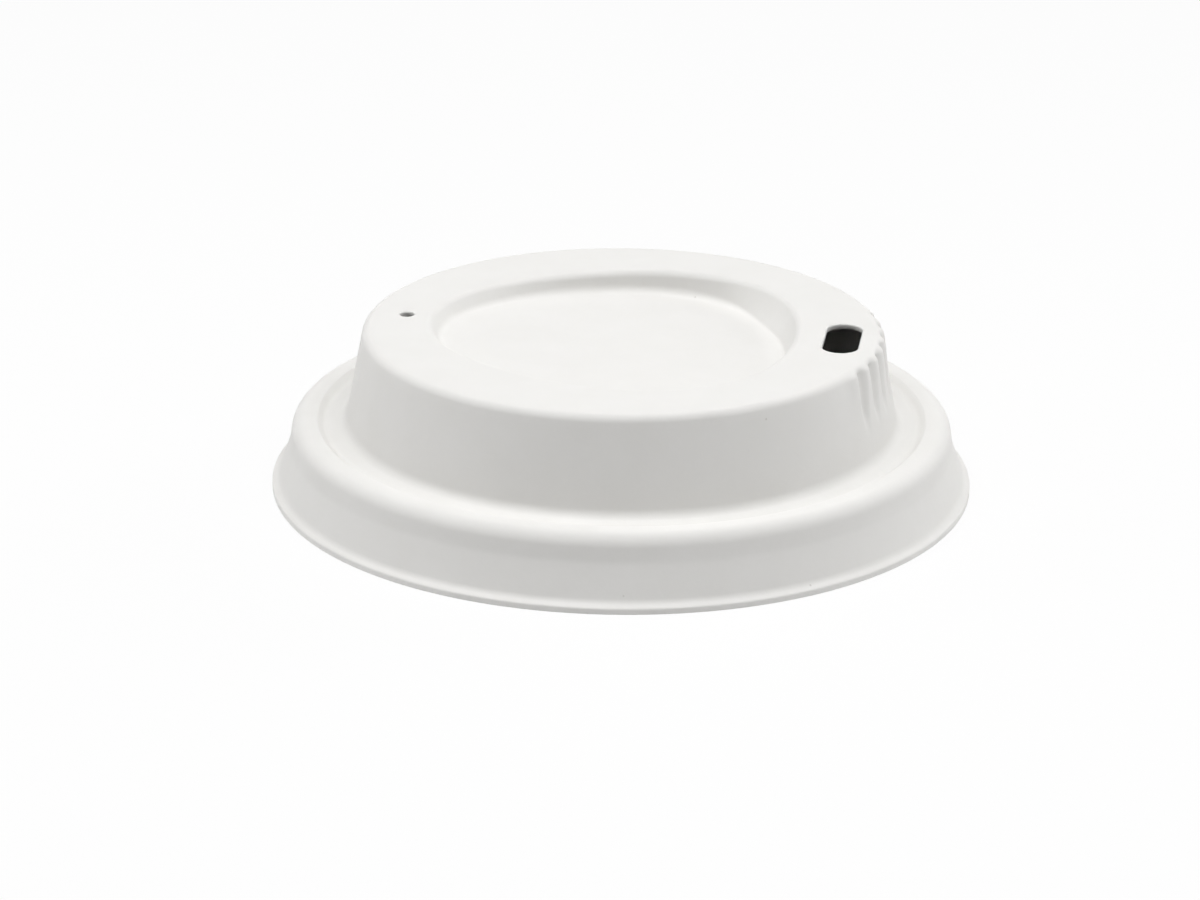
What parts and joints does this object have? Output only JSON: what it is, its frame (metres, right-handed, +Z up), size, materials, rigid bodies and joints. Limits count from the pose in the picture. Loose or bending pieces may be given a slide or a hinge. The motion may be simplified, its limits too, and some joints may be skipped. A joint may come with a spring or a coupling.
{
  "type": "coffee cup lid",
  "caption": "Domed sip lid for a takeaway cup, pressed from paper fibre as one thin shell, with a drinking slot, a vent hole, a sloping recess and grip flutes.",
  "frame": {"origin": "centre of the bounding box's underside: the middle of the lip, on the plane that the lid stands on", "axes": "+Z up along the dome, +X towards the sip hole, +Y completes the frame; the vent hole is on -X"},
  "size_m": [0.096, 0.096, 0.022],
  "materials": {
    "fibre": "matte pressed paper fibre"
  },
  "bodies": {
    "root": {"lid": "fibre"}
  },
  "joints": []
}
